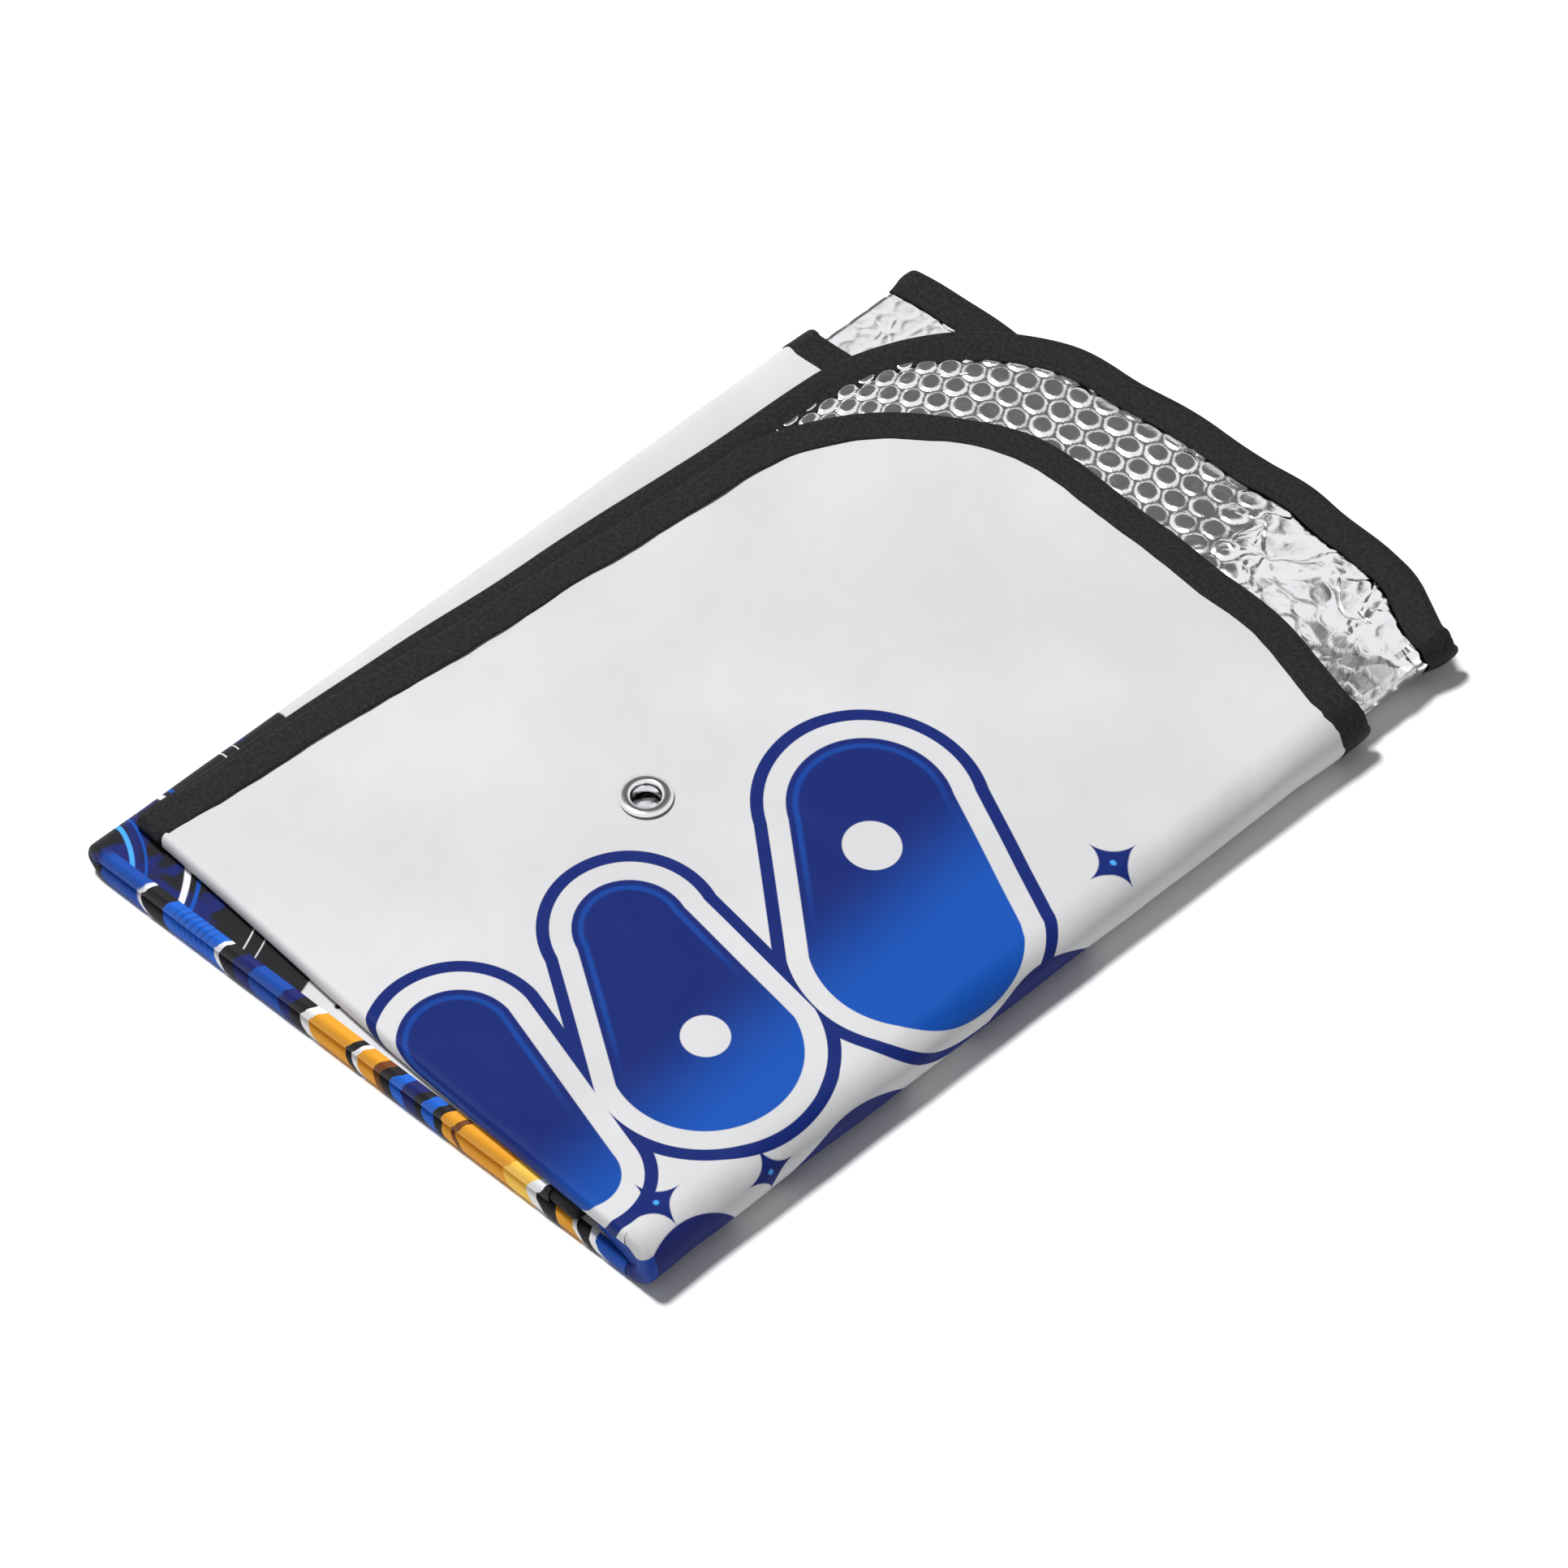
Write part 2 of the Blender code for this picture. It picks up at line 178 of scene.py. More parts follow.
sky = bpy.data.worlds.new("studio_sky")
bpy.context.scene.world = sky
sky.use_nodes = True
sky_wire = Wire(sky.node_tree)
background = sky.node_tree.nodes["Background"]
mirror_way = Vector((-camera_back.x, -camera_back.y, camera_back.z))
ray = sky_wire.node("ShaderNodeTexCoord", out=0)
facing = sky_wire.node(
    "ShaderNodeVectorMath", {"operation": "DOT_PRODUCT"}, {0: ray, 1: mirror_way}, out=1
)
patch = facing.rise(math.cos(math.radians(40)), math.cos(math.radians(13)))
sky_colour = patch.over((0.86, 0.87, 0.88, 1), (0.13, 0.13, 0.135, 1))
sky.node_tree.links.new(sky_colour.socket, background.inputs["Color"])
glossy = sky_wire.node("ShaderNodeLightPath", out=3)
sky.node_tree.links.new((0.31 + glossy * 0.75).socket, background.inputs["Strength"])

key = bpy.data.objects.new("key_light", bpy.data.lights.new("key_light", "AREA"))
bpy.context.scene.collection.objects.link(key)
key.data.shape = "DISK"
key.data.size = 0.6
key.data.energy = 111
key.location = (-0.3, 0.95, 2.85)
key.rotation_euler = (Vector((0, 0, 0)) - key.location).to_track_quat("-Z", "Y").to_euler()
bpy.context.scene.view_settings.view_transform = "Standard"

# The sheet's short half, printed side out: light grey woven polyester, printed with a generic design of
# leaning drops and then laminated to the foil. It runs under the base, round the near fold and over the
# top flap as one piece of cloth, so it is one mesh.
LEAF = 0.0036  # height of a bound leaf
PITCH = 0.0039  # from one leaf to the next
joints = {joint["name"]: joint for joint in frame["record"]["behaviour"]["joints"]}
top_axis = Vector(joints["top_flap_fold"]["pos_m"])
inner_axis = Vector(joints["inner_flap_fold"]["pos_m"])
inner_way = joints["inner_flap_fold"]["axis"]
inner_slope = inner_way[1] / inner_way[0]
SPINE_RADIUS = LEAF + (PITCH - LEAF) / 2


def inner_fold_y(x):
    """Y of the inner flap's fold axis at x."""
    return inner_axis.y + inner_slope * x


def spine_line(node):
    """X of a section's spine axis, as a function of y, from the box of its spine cover."""
    low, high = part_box(node)
    slope = (low.x + SPINE_RADIUS - high.x) / (high.y - low.y)
    return lambda y: high.x + slope * (y - low.y)


corner_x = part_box("inner_fold_short_cover")[0].x
corner_y = inner_fold_y(corner_x)
inner_free_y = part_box("inner_short_binding")[0].y
top_short_side_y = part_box("top_binding_turn")[1].y
top_long_side_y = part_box("top_long_binding")[1].y
top_short_end_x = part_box("top_short_binding")[1].x
top_long_end_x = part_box("top_long_binding")[1].x
base_short_end_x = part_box("base_short_binding")[1].x
base_long_end_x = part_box("base_long_binding")[1].x
inner_short_end_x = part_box("inner_short_binding")[1].x
inner_long_end_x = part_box("inner_long_binding")[1].x
TOP_SHORT_SIDE_SLANT = -0.062
TOP_LONG_SIDE_SLANT = -0.034
SHORT_CORNER, LONG_CORNER = 0.093, 0.082  # radii of the top flap

SECTION_RISE = 2 * PITCH
SKIN = 0.00005
printed_z = {  # height of each leaf's printed face, lowest leaf first
    "base_short": 0.0,
    "base_long": PITCH + LEAF,
    "inner_long": 2 * PITCH,
    "inner_short": 3 * PITCH + LEAF,
    "top_long": 4 * PITCH,
    "top_short": 5 * PITCH + LEAF,
}
LEAVES = list(printed_z)
printed_up = {leaf: k % 4 in (1, 3) for k, leaf in enumerate(LEAVES)}


def smooth(low, high, value):
    share = min(1.0, max(0.0, (value - low) / (high - low)))
    return share * share * (3 - 2 * share)


def filleted(corners, step=0.0015):
    """An open plan line through (x, y, radius) corners, with each radius as an arc."""
    line = []
    for i, (x, y, radius) in enumerate(corners):
        here = Vector((x, y))
        if not radius:
            line.append(here)
            continue
        before = (here - Vector(corners[i - 1][:2])).normalized()
        after = (Vector(corners[i + 1][:2]) - here).normalized()
        turn = math.atan2(before.cross(after), before.dot(after))
        hand = math.copysign(1, turn)
        start = here - before * radius * math.tan(abs(turn) / 2)
        centre = start + hand * Vector((-before.y, before.x)) * radius
        steps = int(radius * abs(turn) / step) + 2
        for k in range(steps + 1):
            line.append(centre + Matrix.Rotation(turn * k / steps, 2) @ (start - centre))
    return line


def spaced(line, count):
    """count + 1 points an equal way apart along a plan line."""
    along = [0.0]
    for a, b in zip(line, line[1:]):
        along.append(along[-1] + (b - a).length)
    found, i = [], 0
    for k in range(count + 1):
        want = along[-1] * k / count
        while i < len(line) - 2 and along[i + 1] < want:
            i += 1
        share = (want - along[i]) / max(along[i + 1] - along[i], 1e-9)
        found.append(line[i].lerp(line[i + 1], min(1.0, share)))
    return found


def inward_of(line, i, hand):
    """The way in from a plan line at point i, long enough to keep an even width round a corner."""
    before = (line[i] - line[i - 1]).normalized() if i else (line[1] - line[0]).normalized()
    after = (line[i + 1] - line[i]).normalized() if i + 1 < len(line) else before
    way = (before + after).normalized()
    stretch = 1 / max(0.4, way.dot(before))
    return hand * Vector((-way.y, way.x)) * stretch


# Each leaf's end line, from its fold to where its free side meets the spine
spine_x = {section: spine_line(section + "_spine_cover") for section in ("base", "inner", "top")}
straight_top_spine = spine_x["top"]
TOP_SPINE_CURVE = 0.0055  # how far the top flap's spine has crept in at its free side
spine_x["top"] = lambda y: straight_top_spine(y) + TOP_SPINE_CURVE * smooth(-0.04, 0.12, y)
short_side = top_short_side_y + TOP_SHORT_SIDE_SLANT * (top_short_end_x - spine_x["top"](0))
long_side = top_long_side_y + TOP_LONG_SIDE_SLANT * (top_long_end_x - spine_x["top"](0))
end_lines = {
    "top_short": filleted(
        [
            (top_short_end_x - 0.0085, top_axis.y, 0),
            (top_short_end_x - 0.0005, top_axis.y + 0.030, 0.08),
            (top_short_end_x, short_side, SHORT_CORNER),
            (spine_x["top"](top_short_side_y), top_short_side_y, 0),
        ]
    ),
    "top_long": filleted(
        [
            (top_long_end_x - 0.0105, top_axis.y, 0),
            (top_long_end_x, top_axis.y + 0.020, 0.03),
            (top_long_end_x + 0.002, top_axis.y + 0.080, 0.25),
            (top_long_end_x - 0.0145, long_side, LONG_CORNER),
            (spine_x["top"](top_long_side_y), top_long_side_y, 0),
        ]
    ),
    "base_short": [Vector((base_short_end_x, top_axis.y)), Vector((base_short_end_x, corner_y))],
    "base_long": [Vector((base_long_end_x, top_axis.y)), Vector((base_long_end_x, corner_y))],
    "inner_short": filleted(
        [
            (inner_short_end_x - 0.0035, inner_fold_y(inner_short_end_x), 0),
            (inner_short_end_x, inner_fold_y(inner_short_end_x) - 0.032, 0.1),
            (inner_short_end_x, inner_free_y, 0),
            (spine_x["inner"](inner_free_y), inner_free_y, 0),
        ]
    ),
    "inner_long": filleted(
        [
            (inner_long_end_x - 0.001, inner_fold_y(inner_long_end_x), 0),
            (inner_long_end_x + 0.003, inner_fold_y(inner_long_end_x) - 0.030, 0.1),
            (inner_long_end_x + 0.003, inner_free_y, 0),
            (spine_x["inner"](inner_free_y), inner_free_y, 0),
        ]
    ),
}
for leaf, lean in (("base_short", 0.009), ("base_long", 0.010)):
    end_lines[leaf][1].x -= lean
    end_lines[leaf][1].y = inner_fold_y(end_lines[leaf][1].x)


def settle(point, level):
    """How the stack has relaxed: the loose ends lift and wave a little, and their edges wander."""
    x, y, z = point
    loose = smooth(0.02, 0.19, x)
    wave = 0.5 + 0.5 * noise.noise(Vector((x * 13, y * 19, 3.1)))
    up = 0.0022 * smooth(0.0077, 0.0231, z) * loose * wave
    out = 0.0022 * loose * noise.noise(Vector((y * 36, level * 2.3, 8.4)))
    high = smooth(0.0154, 0.019, z) * smooth(0.04, 0.09, y)
    side = 0.0016 * high * noise.noise(Vector((x * 22, level * 1.9, 5.0)))
    return Vector((x + out, y + side, z + up))


class Row:
    """One straight line of a layer, from the spine to the end: the way its face points, its place
    across the flat cloth, and how high in the stack it is."""

    def __init__(self, start, end, face, across, level):
        self.start, self.end, self.face = Vector(start), Vector(end), Vector(face)
        self.across, self.level = across, level


def leaf_rows(leaf, depth, count, outward=True, inset=0.004):
    """Rows of one leaf from its fold to its free side, depth under its printed face."""
    z = printed_z[leaf] + (-depth if printed_up[leaf] else depth)
    section = leaf.split("_")[0]
    line = end_lines[leaf]
    hand = -1 if section == "inner" else 1
    line = [p + inward_of(line, i, hand) * inset for i, p in enumerate(line)]
    if section == "base":
        ends, far_y = spaced(line, count), corner_y
    else:
        side = line[-1]
        far_y = side.y
        ends = spaced(line[:-1], count)
    near_y = corner_y if section == "inner" else top_axis.y
    face = Vector((0, 0, 1 if printed_up[leaf] == outward else -1))
    rows = []
    for k, end in enumerate(ends):
        y = near_y + (far_y - near_y) * k / count
        start = (spine_x[section](y), y, z)
        rows.append(Row(start, (end.x, end.y, z), face, abs(y - near_y), LEAVES.index(leaf)))
    return rows


def fold_rows(lower, upper, depth, count, outward=True, inset=0.004):
    """Rows round a letter fold from the lower leaf to the upper, both ends left out, depth under the
    printed face. Their places across the cloth are negative, 0 where the upper leaf begins."""
    top = upper.startswith("top")
    axis = top_axis if top else inner_axis
    radius = (printed_z[upper] - printed_z[lower]) / 2
    wide = abs(radius)
    inside = printed_up[lower]
    wide += depth if inside else -depth
    from_x, to_x = end_lines[lower][0 if top else 1].x, end_lines[upper][0].x
    levels = LEAVES.index(lower), LEAVES.index(upper)
    rows = []
    for k in range(1, count):
        turn = math.pi * k / count
        reach, z = wide * math.sin(turn), axis.z - wide * math.cos(turn)
        hand = -1 if top else 1
        radial = Vector((0, hand * math.sin(turn), -math.cos(turn)))
        end_x = from_x + (to_x - from_x) * k / count - inset
        if top:
            start_x, start_y, end_y = spine_x["base"](axis.y), axis.y, axis.y
        else:
            start_x, start_y, end_y = corner_x, corner_y, inner_fold_y(end_x)
        start = (start_x, start_y + hand * reach, z)
        end = (end_x, end_y + hand * reach, z)
        face = radial * (-1 if inside == outward else 1)
        level = levels[0] + (levels[1] - levels[0]) * k / count
        rows.append(Row(start, end, face, -wide * (math.pi - turn), level))
    return rows, wide * math.pi


def around(lower_rows, fold, upper_rows):
    """All the rows of a layer, from the lower leaf's far edge round the fold and out along the upper."""
    rows, length = fold
    for row in lower_rows:
        row.across = -length - row.across
    return lower_rows[::-1] + rows + upper_rows


def lay_cloth(name, rows, columns, finish, swell=None, hole=None):
    """A layer of the mat on a grid. columns are shares of the way from the spine to the end. Its UV map
    is its place on the flat cloth, in metres, and its flat area is returned with it."""
    bm = bmesh.new()
    bmesh.ops.create_grid(bm, x_segments=len(columns) - 1, y_segments=len(rows) - 1, size=1)
    flat = bm.loops.layers.uv.new("cloth")
    places, faces_way, dropped = {}, {}, []
    for vert in bm.verts:
        share = columns[round((vert.co.x + 1) / 2 * (len(columns) - 1))]
        row = rows[round((vert.co.y + 1) / 2 * (len(rows) - 1))]
        point = row.start.lerp(row.end, share)
        if hole and row.level > 3.9 and (point - hole).length < 0.03:
            away = Vector((point.x - hole.x, point.y - hole.y, 0))
            if away.length < 0.0016:
                dropped.append(vert)
            elif away.length < 0.009:
                point += away.normalized() * (0.006 + away.length / 3 - away.length)
        places[vert] = (point.x, row.across)
        faces_way[vert] = row.face
        bulge = swell(point.x, row.across, row) if swell else 0.0
        vert.co = settle(point, row.level) + row.face * bulge
    for face in bm.faces:
        for loop in face.loops:
            loop[flat].uv = places[loop.vert]
    area = 0.0
    for face in bm.faces:
        corners = [Vector(places[loop.vert]) for loop in face.loops]
        area += 0.5 * abs((corners[2] - corners[0]).cross(corners[3] - corners[1]))
    bm.normal_update()
    agreement = sum(face.normal.dot(faces_way[face.verts[0]]) for face in bm.faces)
    if agreement < 0:
        bmesh.ops.reverse_faces(bm, faces=bm.faces)
    bmesh.ops.delete(bm, geom=dropped, context="VERTS")
    obj = put_in_scene(name, bm, finish)
    wide = max(p[0] for p in places.values()) - min(p[0] for p in places.values())
    deep = max(p[1] for p in places.values()) - min(p[1] for p in places.values())
    return obj, (wide, deep), area


def even(count):
    return [k / count for k in range(count + 1)]


GREY = (0.535, 0.536, 0.545, 1)
NAVY = (0.010, 0.016, 0.120, 1)
INK = (0.004, 0.015, 0.130, 1)
BLUE = (0.004, 0.068, 0.362, 1)
SKY = (0.060, 0.330, 0.780, 1)
BLACK = (0.012, 0.012, 0.014, 1)
WEAVE = 0.00052


def cloth_place(wire):
    """The flat cloth's x and y in millimetres, from the UV map."""
    uv = wire.node("ShaderNodeUVMap", {"uv_map": "cloth"})
    parts = wire.node("ShaderNodeSeparateXYZ", None, {0: uv})
    x = parts * 1000.0
    y = Wire(wire.tree, parts.socket.node.outputs[1]) * 1000.0
    return uv, x, y


def woven(wire, uv, x, y, pitch, depth):
    """Bump of a fine weave whose ribs run on the bias, over faint slubs and soft creases."""
    step = math.tau / (pitch * 1000)
    warp = ((x * 0.86 + y * 0.51) * step).math("SINE")
    weft = ((x * -0.51 + y * 0.86) * step).math("SINE")
    slub = wire.node("ShaderNodeTexNoise", None, {"Vector": uv, "Scale": 900.0, "Detail": 2.0})
    height = warp.most(weft) * 0.5 + warp * weft * 0.3 + slub * 0.5
    slack = wire.node(
        "ShaderNodeTexNoise", None, {"Vector": uv, "Scale": 26.0, "Detail": 2.0, "Distortion": 0.6}
    )
    soft = wire.node("ShaderNodeBump", None, {"Strength": 0.30, "Distance": 0.004, "Height": slack})
    return wire.node(
        "ShaderNodeBump", None, {"Strength": 0.55, "Distance": depth, "Height": height, "Normal": soft}
    )


def feed(wire, shader, **links):
    for socket, source in links.items():
        wire.tree.links.new(source.socket, shader.inputs[socket.replace("_", " ")])


def polyester(name, paint):
    """Polyester whose colour comes from paint(wire, x, y, plain)."""
    finish, shader, wire = new_finish(name, Specular_IOR_Level=0.08)
    uv, x, y = cloth_place(wire)
    cloud = wire.node("ShaderNodeTexNoise", None, {"Vector": uv, "Scale": 14.0, "Detail": 3.0})
    plain = cloud.rise(0.35, 0.7).over(GREY, (0.585, 0.585, 0.600, 1))
    colour = paint(wire, x, y, plain) if paint else plain
    fine = wire.node("ShaderNodeTexNoise", None, {"Vector": uv, "Scale": 1400.0, "Detail": 1.0})
    feed(
        wire,
        shader,
        Base_Color=(fine * 0.012).over(colour, (0.35, 0.35, 0.38, 1)),
        Roughness=0.46 + cloud * 0.16,
        Normal=woven(wire, uv, x, y, WEAVE, 0.00006),
    )
    return finish


def drop(x, y, low, low_radius, high, high_radius):
    """Distance to a leaning drop shape, in millimetres: two discs and what lies between them."""
    dx, dy = high[0] - low[0], high[1] - low[1]
    span = dx * dx + dy * dy
    share = ((x - low[0]) * (dx / span) + (y - low[1]) * (dy / span)).math("ADD", 0.0, clamp=True)
    ax = x - low[0] - share * dx
    ay = y - low[1] - share * dy
    return (ax * ax + ay * ay) ** 0.5 - (low_radius + share * (high_radius - low_radius))


def disc(x, y, centre, radius):
    ax, ay = x - centre[0], y - centre[1]
    return (ax * ax + ay * ay) ** 0.5 - radius


def sparkle(x, y, centre, size):
    """Distance-like value of a four-pointed sparkle: below 0 inside."""
    ax = (x - centre[0]).math("ABSOLUTE") / size
    ay = (y - centre[1]).math("ABSOLUTE") / size
    return (ax**0.55 + ay**0.55) - 1.0


def drops_print(wire, x, y, plain):
    """The front print. y runs from the fold: 0 there, positive up the top flap."""
    drops = [
        drop(x, y, (-173, 26), 13, (-166, 90), 20),
        drop(x, y, (-112, 34), 31, (-96, 84), 19),
        drop(x, y, (-34, 20), 34, (-6, 66), 27),
    ]
    near = drops[0].least(drops[1]).least(drops[2])
    deep = ((y * -1.0) + x * 0.06).rise(-58.0, -18.0)
    ink = deep.over(INK, BLUE)
    glow = near.rise(-4.5, -3.4) * (1.0 - near.rise(-2.6, -1.6)) * y.rise(40.0, 70.0)
    ink = (glow * 0.55).over(ink, BLUE)
    window = disc(x, y, (-17, 55), 9.5).least(disc(x, y, (-108, 38), 8.0))
    outline = near.rise(6.9, 7.3) * (1.0 - near.rise(11.2, 11.6))
    colour = outline.over(plain, INK)
    inside = (1.0 - near.rise(-0.25, 0.25)) * window.rise(-0.25, 0.25)
    colour = inside.over(colour, ink)
    for centre, size in (((34, 0), 11.0), ((-163, 2), 10.5), ((-126, -13), 10.0)):
        star = 1.0 - sparkle(x, y, centre, size).rise(-0.05, 0.05)
        colour = star.over(colour, INK)
        colour = (1.0 - disc(x, y, centre, 0.9).rise(-0.4, 0.4)).over(colour, SKY)
    lower = disc(x, y, (-163, -31), 23).least(disc(x, y, (-92, -46), 33))
    lower = lower.least(disc(x, y, (-10, -42), 30))
    colour = (1.0 - lower.rise(-0.3, 0.3)).over(colour, NAVY)
    return colour


front_print = polyester("front_print", drops_print)
eyelet_centre = (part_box("eyelet_flange")[0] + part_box("eyelet_flange")[1]) / 2


def creased(x, across, row):
    """Low, broad creases of folded cloth, a few tenths of a millimetre deep."""
    lean = across * 0.6 + x
    broad = noise.noise(Vector((lean * 34, across * 9 - x * 5, row.level)))
    small = noise.noise(Vector((lean * 70 + 4, across * 26, row.level * 2)))
    edge = smooth(0.004, 0.03, row.end.x - x) * smooth(0.0, 0.02, abs(across))
    edge *= smooth(0.0, 0.02, x - row.start.x)
    under_tape = smooth(0.0125, 0.0095, row.end.x + 0.004 - x)
    return -(0.00050 * (1 + broad) + 0.00012 * (1 + small)) * edge - 0.0002 * under_tape


short_front, cut, area = lay_cloth(
    "printed_front",
    around(
        leaf_rows("base_short", SKIN, 60),
        fold_rows("base_short", "top_short", SKIN, 22),
        leaf_rows("top_short", SKIN, 78),
    ),
    even(124),
    front_print,
    creased,
    eyelet_centre,
)
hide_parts("top_short_cover", "top_fold_short_cover", "base_short_cover")
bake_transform(short_front)


def corner_print(wire, x, y, plain):
    """The inner flap's print: y runs from the far fold, positive along the flap."""
    ring = disc(x, y, (-218, -10), 0.0)
    uv = wire.node("ShaderNodeUVMap", {"uv_map": "cloth"})
    stir = wire.node("ShaderNodeTexNoise", None, {"Vector": uv, "Scale": 60.0, "Detail": 2.0})
    deep = (stir + ring * 0.004).rise(0.62, 0.70).over(NAVY, BLACK)
    colour = (1.0 - ring.rise(102.5, 103.5)).over(plain, deep)
    rings = (
        (34, 0.9, SKY), (38.5, 0.5, BLUE), (52, 1.2, (0.8, 0.8, 0.85, 1)), (56, 0.8, BLUE),
        (78, 0.35, GREY), (83, 0.3, GREY),
    )
    for radius, wide, shade in rings:
        arc = 1.0 - ((ring - radius).math("ABSOLUTE")).rise(wide * 0.6, wide * 1.2)
        colour = arc.over(colour, shade)
    spot = 1.0 - disc(x, y, (-181, 100), 1.1).rise(-0.4, 0.4)
    return spot.over(colour, BLACK)


inner_print = polyester("inner_print", corner_print)
inner_front, cut, area = lay_cloth(
    "printed_inner_flap",
    around(
        [],
        fold_rows("base_short", "inner_short", SKIN, 18),
        leaf_rows("inner_short", SKIN, 60),
    ),
    even(90),
    inner_print,
    creased,
)
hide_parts("inner_short_cover", "inner_fold_short_cover")
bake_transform(inner_front)

# The sheet's long half: polyester face in on the base, out underneath the two flaps. Only its plain
# light grey side shows, when the flaps are open.
plain_cloth = polyester("plain_cloth", None)
long_back, cut, area = lay_cloth(
    "plain_back",
    around(
        leaf_rows("base_long", SKIN, 40),
        fold_rows("base_long", "top_long", SKIN, 16),
        leaf_rows("top_long", SKIN, 50),
    ),
    even(60),
    plain_cloth,
)
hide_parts("top_long_cover", "top_fold_long_cover", "base_long_cover")
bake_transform(long_back)
inner_back, cut, area = lay_cloth(
    "plain_inner_flap",
    around(
        [],
        fold_rows("base_long", "inner_long", SKIN, 8),
        leaf_rows("inner_long", SKIN, 40),
    ),
    even(60),
    plain_cloth,
)
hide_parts("inner_long_cover", "inner_fold_long_cover")
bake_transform(inner_back)

# The half fold: the cloth's round edge along the spine of each section. The base's carries a band of
# stripes in blue, black, white and gold; the inner flap's the edge of its disc; the top flap's is plain.
def striped_band(wire, x, y, plain):
    """Stripes across the base's spine. y runs from the near fold to the far one, x down the edge."""
    uv = wire.node("ShaderNodeUVMap", {"uv_map": "cloth"})
    ripple = wire.node("ShaderNodeTexNoise", None, {"Vector": uv, "Scale": 90.0, "Detail": 3.0})
    along = y + (x + 184.0) * 0.55 + ripple * 5.0
    gold, yellow = (0.73, 0.32, 0.023), (0.90, 0.55, 0.09)
    brown, white = (0.16, 0.05, 0.012), (0.78, 0.78, 0.80)
    blue, bright, navy, black = (0.010, 0.065, 0.35), (0.012, 0.115, 0.56), NAVY[:3], BLACK[:3]
    bands = (
        (0, blue), (14, white), (16, black), (22, white), (24, gold), (31, black), (39, white),
        (43, yellow), (52, gold), (72, brown), (74, gold), (78, black), (82, bright), (87, black),
        (90, navy), (95, bright), (100, black), (104, brown), (106, gold), (113, white), (115, black),
        (118, gold), (134, white), (137, black), (142, navy), (147, blue), (160, navy), (166, black),
        (172, white), (174, bright), (196, black), (206, white),
    )
    length = 240.0
    share = along / length
    stops = [(place / length, shade) for place, shade in bands]
    ramp = share.node("ShaderNodeValToRGB", {"interpolation": "CONSTANT", "stops": stops}, {0: share})
    left = along.rise(207.0, 208.5).over(ramp, (*blue, 1))
    left = along.rise(222.0, 228.0).over(left, NAVY)
    wave = ((y * 2.6 + x * 1.2 + ripple * 3.0).math("SINE")).rise(0.1, 0.9) * 0.45
    rippled = wave * along.rise(174.0, 180.0) * (1.0 - along.rise(190.0, 196.0))
    return rippled.over(left, INK)


band_print = polyester("band_print", striped_band)
SPINE_MID = SPINE_RADIUS - SKIN


def round_spine(name, section, from_y, to_y, finish, radius, sideways=20):
    """The half tube of a layer round a section's spine, from its short leaf to its long one."""
    bm = bmesh.new()
    steps = max(4, int(abs(to_y - from_y) / 0.003))
    bmesh.ops.create_grid(bm, x_segments=sideways, y_segments=steps, size=1)
    flat = bm.loops.layers.uv.new("cloth")
    number = ("base", "inner", "top").index(section)
    profile, lengths = [], [0.0]
    for k in range(sideways + 1):
        turn = math.pi * k / sideways
        profile.append(Vector((-radius * abs(math.sin(turn)) ** 0.4, radius * math.cos(turn))))
        if k:
            lengths.append(lengths[-1] + (profile[-1] - profile[-2]).length)
    low = number * SECTION_RISE + SPINE_RADIUS
    sign = -1 if section == "base" else 1
    places = {}
    for vert in bm.verts:
        step = round((vert.co.x + 1) / 2 * sideways)
        y = from_y + (to_y - from_y) * (vert.co.y + 1) / 2
        pinch = 1.0 - 0.035 * (1 + noise.noise(Vector((y * 45, number, 2.2))))
        x = spine_x[section](y) + profile[step].x * pinch
        z = low + sign * profile[step].y
        across = y - top_axis.y if finish is band_print else abs(y - from_y)
        places[vert] = (spine_x[section](y) - lengths[step], across)
        vert.co = settle((x, y, z), 2 * number + 0.5)
    for face in bm.faces:
        for loop in face.loops:
            loop[flat].uv = places[loop.vert]
    bm.normal_update()
    if sum(face.normal.x for face in bm.faces) > 0:
        bmesh.ops.reverse_faces(bm, faces=bm.faces)
    return put_in_scene(name, bm, finish)


UNDER_TAPE = 0.011  # how far the inner and top spines end before the free side, under the tape's turn
inner_stop, top_stop = inner_free_y + UNDER_TAPE, top_short_side_y - UNDER_TAPE
spines = {
    "base": round_spine("striped_spine", "base", top_axis.y, corner_y, band_print, SPINE_MID),
    "inner": round_spine("inner_spine", "inner", corner_y, inner_stop, band_print, SPINE_MID),
    "top": round_spine("top_spine", "top", top_axis.y, top_stop, front_print, SPINE_MID),
}
for section, spine in spines.items():
    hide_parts(section + "_spine_cover")
    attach(spine, section if section == "base" else section + "_flap")

# Folded corners: where a letter fold meets the spine the cloth bulges as half a ring round the fold.
corner_paint, corner_shader, corner_wire = new_finish(
    "corner_blue", Roughness=0.55, Specular_IOR_Level=0.08
)
uv, x, y = cloth_place(corner_wire)
feed(
    corner_wire,
    corner_shader,
    Base_Color=(y.rise(-7.8, -7.4)).over(y.rise(-24.0, -8.0).over(NAVY, (0.012, 0.05, 0.30, 1)), GREY),
    Normal=woven(corner_wire, uv, x, y, WEAVE, 0.00006),
)


